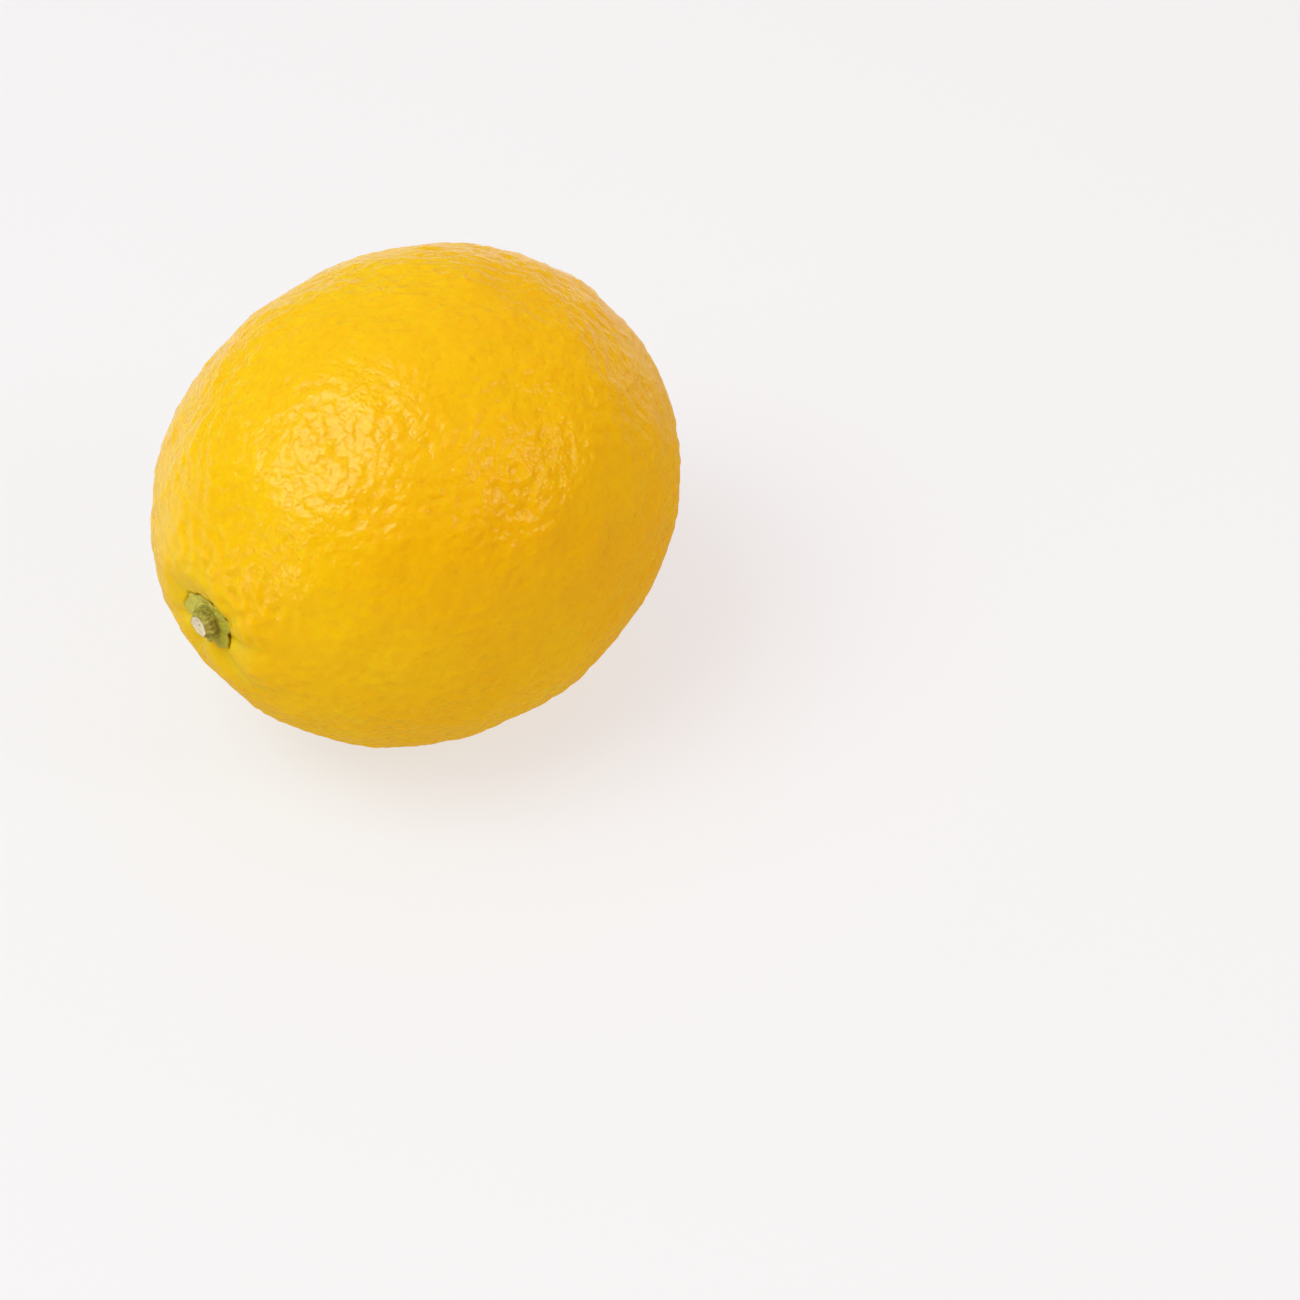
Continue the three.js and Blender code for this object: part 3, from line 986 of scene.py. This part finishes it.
def stem_material():
    material, tree, shader = new_material("stem_wood")
    tone = mottling(tree, 0.7 * MM, 0.15)
    bark = mixed(tree, tone, BARK_DARK, BARK_PALE)
    # Painted shade between the knobs of the ring
    knob_shade = mapped(tree, mask(tree, "knob_shade"), 0.15, 0.8, 0, 0.6)
    bark = mixed(tree, knob_shade, bark, KNOB_SHADE)
    rim = mapped(tree, mask(tree, "up_stem"), *RIM_STARTS, 0, 0.5)
    bark = mixed(tree, rim, bark, RIM_BROWN)
    wood = mixed(tree, tone, WOOD_PALE, WOOD_DARK)
    pith = mapped(tree, mask(tree, "off_axis"), *PITH_FADES, 0.6, 0)
    wood = mixed(tree, pith, wood, PITH_BROWN)
    edge = mapped(tree, mask(tree, "off_axis"), *WOOD_EDGE_STARTS, 0, 0.6)
    wood = mixed(tree, edge, wood, WOOD_EDGE)
    colour = mixed(tree, mask(tree, "on_cut"), bark, wood)
    feed(tree, shader.inputs["Base Color"], colour)
    feed_all(tree, shader, STEM_SURFACE)
    roughen(tree, shader, fine_relief(tree, 0.35 * MM, 0.08 * MM, 0.4 * MM, 0.02 * MM)[0])
    return material


calyx.data.materials.append(calyx_material())
stem.data.materials.append(stem_material())
print("green finishes:", calyx.data.materials[0].name, stem.data.materials[0].name)

# %% [markdown]
# ## The floor
#
# The fruit lies on a plain pale table that ends nowhere, as in a studio with a white
# sweep. A grid of one face does for that. Near the fruit it mostly glows and is lit a
# little, so that only a soft, faint shadow shows, and farther off it fades into the
# backdrop's colour. Mirrored rays see other colours of it, warm near the fruit and pale
# farther off on the bright side, because what a shiny rind mirrors sets how its outline
# looks.

# %% Floor
FLOOR_SIZE = 6.0
FLOOR_COLOUR = (0.245, 0.257, 0.26, 1)
FLOOR_GLOW = 0.70
FLOOR_FADES = (0.2, 1.2)
BACKDROP = (0.93, 0.913, 0.905, 1)
MIRRORED_NEAR = (0.62, 0.335, 0.10, 1)
MIRRORED_FAR = (1.08, 0.92, 0.75, 1)
MIRRORED_TURNS_PALE = (-15 * MM, 115 * MM)
BRIGHT_SIDE = (0.2, 0.98, 0)
BLACK = (0, 0, 0, 1)
FLOOR_SURFACE = {"Roughness": 1.0, "Specular IOR Level": 0.0}


def vector_node(tree, operation, *inputs):
    node = add_node(tree, "ShaderNodeVectorMath", operation=operation)
    for socket, value in zip(node.inputs, inputs):
        feed(tree, socket, value)
    return node.outputs


def make_floor():
    bm = bmesh.new()
    bmesh.ops.create_grid(bm, x_segments=1, y_segments=1, size=FLOOR_SIZE / 2)
    floor = finished("floor", bm)
    material, tree, shader = new_material("floor")
    place = object_place(tree)
    glossy = add_node(tree, "ShaderNodeLightPath").outputs["Is Glossy Ray"]
    along = vector_node(tree, "DOT_PRODUCT", place, BRIGHT_SIDE)["Value"]
    far = mapped(tree, along, *MIRRORED_TURNS_PALE)
    mirrored = mixed(tree, far, MIRRORED_NEAR, MIRRORED_FAR)
    distance = vector_node(tree, "LENGTH", place)["Value"]
    flat = math_node(tree, "MAXIMUM", glossy, mapped(tree, distance, *FLOOR_FADES))
    feed_all(tree, shader, FLOOR_SURFACE)
    feed_all(tree, shader, {
        "Base Color": mixed(tree, flat, FLOOR_COLOUR, BLACK),
        "Emission Color": mixed(tree, glossy, BACKDROP, mirrored),
        "Emission Strength": mapped(tree, flat, 0, 1, FLOOR_GLOW, 1.0),
    })
    floor.data.materials.append(material)
    print("floor:", len(tree.nodes), "nodes")


make_floor()

# %% [markdown]
# ## The lamps
#
# A softbox is a wide lamp, and the rind shows it as a wide highlight that its pebbles
# break up. An area light of the shape of a disc is the plain way to make one. A large
# one with a smaller, brighter core stands up on the left, so that its highlight is
# brightest in the middle. A small one on the right gives the second highlight, and a
# small card low in front lifts the stem end. Each is placed by a direction in the
# camera's view, since it is there that a highlight shows.

# %% Lamps
# Direction in the camera's view, distance, diameter, power and colour
SOFTBOXES = {
    "main_softbox": ((-0.455, 0.43, 0.77), 1.1, 1.2, 3.95, (0.95, 1.14, 1.03)),
    "main_core": ((-0.425, 0.42, 0.80), 1.09, 0.68, 4.0, (0.96, 1.13, 1.12)),
    "side_softbox": ((0.79, 0.21, 0.58), 1.1, 0.4, 1.4, (0.98, 1.08, 1.0)),
    "low_card": ((-0.73, -0.37, 0.49), 1.1, 0.18, 0.66, (1.0, 0.95, 0.95)),
}


def make_softbox(name, direction, distance, size, power, colour):
    """A round softbox that faces the fruit."""
    light = bpy.data.lights.new(name, "AREA")
    light.shape = "DISK"
    light.size = size
    light.energy = power
    light.color = colour
    towards = (turn_to_view @ Vector(direction)).normalized()
    holder = bpy.data.objects.new(name, light)
    holder.matrix_world = Matrix.LocRotScale(
        CENTRE + towards * distance, towards.to_track_quat("Z", "Y"), None
    )
    bpy.context.collection.objects.link(holder)


for name, softbox in SOFTBOXES.items():
    make_softbox(name, *softbox)
print("lamps:", list(SOFTBOXES))

# %% [markdown]
# ## The glow of the room
#
# In a white studio, light comes from all round. The world node gives that, as a sum of
# soft lobes: each is brightest in one direction and fades to nothing at right angles to
# it. Mirrored rays see their own, warmer sum, which stands in for the yellow fruit and
# pale sweep that a shiny rind mirrors along its outline. The camera sees one plain
# backdrop. The directions are those of the room and stay put when the camera moves.

# %% World
UP = (0, 0, 1)
BEHIND = (0.701, 0.713, 0)
FRONT = (-0.701, -0.713, 0)
LEFT = (-0.713, 0.701, 0)
RIGHT = (0.713, -0.701, 0)
WORLD_LOBES = [
    (UP, (0.64, 0.555, 0.63)),
    (BEHIND, (0.38, 0.295, 0.29)),
    (LEFT, (0.02, 0.02, 0.03)),
    (RIGHT, (0.26, 0.0, 0.0)),
    (FRONT, (0.22, 0.0, 0.0)),
]
MIRRORED_LOBES = [
    (UP, (0.14, 0.13, 0.09)),
    (BEHIND, (0.37, 0.27, 0.15)),
    (LEFT, (0.70, 0.39, 0.11)),
    (FRONT, (0.45, 0.23, 0.05)),
    (RIGHT, (0.40, 0.17, 0.02)),
]


def lobe_glow(tree, looking, lobes):
    """A sum of lobes, each (direction, colour), by the direction that is looked in."""
    total = (0, 0, 0)
    for direction, colour in lobes:
        along = vector_node(tree, "DOT_PRODUCT", looking, direction)["Value"]
        glow = add_node(tree, "ShaderNodeVectorMath", {
            "Scale": math_node(tree, "MAXIMUM", along, 0.0),
        }, operation="SCALE")
        feed(tree, glow.inputs[0], colour)
        total = vector_node(tree, "ADD", total, glow.outputs["Vector"])["Vector"]
    return total


def make_world():
    world = bpy.data.worlds.new("studio")
    world.use_nodes = True
    tree = world.node_tree
    looking = add_node(tree, "ShaderNodeTexCoord").outputs["Generated"]
    ray = add_node(tree, "ShaderNodeLightPath").outputs
    lit = lobe_glow(tree, looking, WORLD_LOBES)
    mirrored = lobe_glow(tree, looking, MIRRORED_LOBES)
    glow = mixed(tree, ray["Is Glossy Ray"], lit, mirrored)
    seen = mixed(tree, ray["Is Camera Ray"], glow, BACKDROP)
    tree.links.new(seen, tree.nodes["Background"].inputs["Color"])
    bpy.context.scene.world = world


make_world()
bpy.context.scene.view_settings.view_transform = "Standard"
print("world:", len(WORLD_LOBES), "lobes, and", len(MIRRORED_LOBES), "for mirrored rays")
